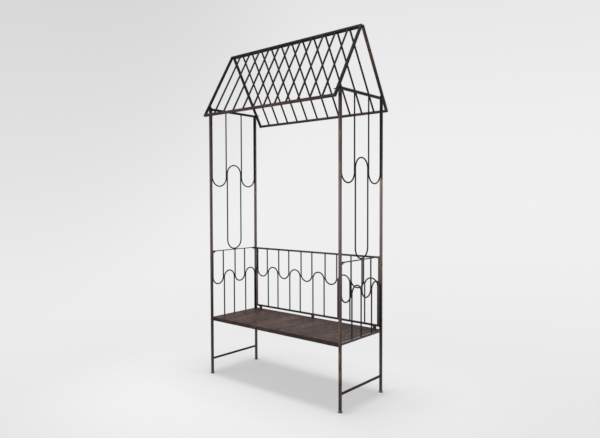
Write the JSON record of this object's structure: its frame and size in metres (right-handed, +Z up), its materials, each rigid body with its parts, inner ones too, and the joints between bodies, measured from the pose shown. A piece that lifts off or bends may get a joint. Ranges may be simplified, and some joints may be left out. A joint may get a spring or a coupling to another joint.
{
  "type": "garden arbour bench",
  "caption": "Free-standing metal trellis arbour with a gable roof of bars, looped side panels and a slatted bench seat.",
  "frame": {"origin": "on the floor, under the middle of the bench", "axes": "+X to the right as seen from the front, +Y towards the back panel, +Z up"},
  "size_m": [1.234, 0.6078, 2.4375],
  "materials": {
    "frame_bronze": "satin",
    "seat_bronze": "satin",
    "foot_metal": "satin",
    "fastener_steel": "satin",
    "hidden_steel": "satin"
  },
  "bodies": {
    "root": {"arm_bolts": "fastener_steel", "arm_lugs": "frame_bronze", "back_arches": "frame_bronze", "back_bottom_rail": "frame_bronze", "back_drop_loops": "frame_bronze", "back_frame_bolts": "fastener_steel", "back_tab_screws": "fastener_steel", "back_tabs": "frame_bronze", "back_top_rail": "frame_bronze", "feet": "foot_metal", "front_eave_tube": "frame_bronze", "front_ridge_tube": "frame_bronze", "front_roof_rods": "frame_bronze", "left_arm_arches": "frame_bronze", "left_arm_bar": "frame_bronze", "left_arm_drop_loops": "frame_bronze", "left_back_stile": "frame_bronze", "left_front_lower_post": "frame_bronze", "left_front_rafter": "frame_bronze", "left_front_upper_post": "frame_bronze", "left_leg_stretcher": "frame_bronze", "left_rear_lower_post": "frame_bronze", "left_rear_rafter": "frame_bronze", "left_rear_upper_post": "frame_bronze", "left_seat_side_rail": "frame_bronze", "left_side_drop_loops": "frame_bronze", "left_side_long_loop": "frame_bronze", "left_top_rail": "frame_bronze", "m6_nuts": "fastener_steel", "post_spigots": "hidden_steel", "rear_eave_tube": "frame_bronze", "rear_ridge_tube": "frame_bronze", "rear_roof_rods": "frame_bronze", "right_arm_arches": "frame_bronze", "right_arm_bar": "frame_bronze", "right_arm_drop_loops": "frame_bronze", "right_back_stile": "frame_bronze", "right_front_lower_post": "frame_bronze", "right_front_rafter": "frame_bronze", "right_front_upper_post": "frame_bronze", "right_leg_stretcher": "frame_bronze", "right_rear_lower_post": "frame_bronze", "right_rear_rafter": "frame_bronze", "right_rear_upper_post": "frame_bronze", "right_seat_side_rail": "frame_bronze", "right_side_drop_loops": "frame_bronze", "right_side_long_loop": "frame_bronze", "right_top_rail": "frame_bronze", "roof_corner_bolts": "fastener_steel", "roof_corner_plates": "frame_bronze", "seat_bolts": "fastener_steel", "seat_front_rail": "seat_bronze", "seat_rail_plugs": "hidden_steel", "seat_rear_rail": "seat_bronze", "seat_slats": "seat_bronze", "spigot_screws": "fastener_steel"}
  },
  "joints": []
}
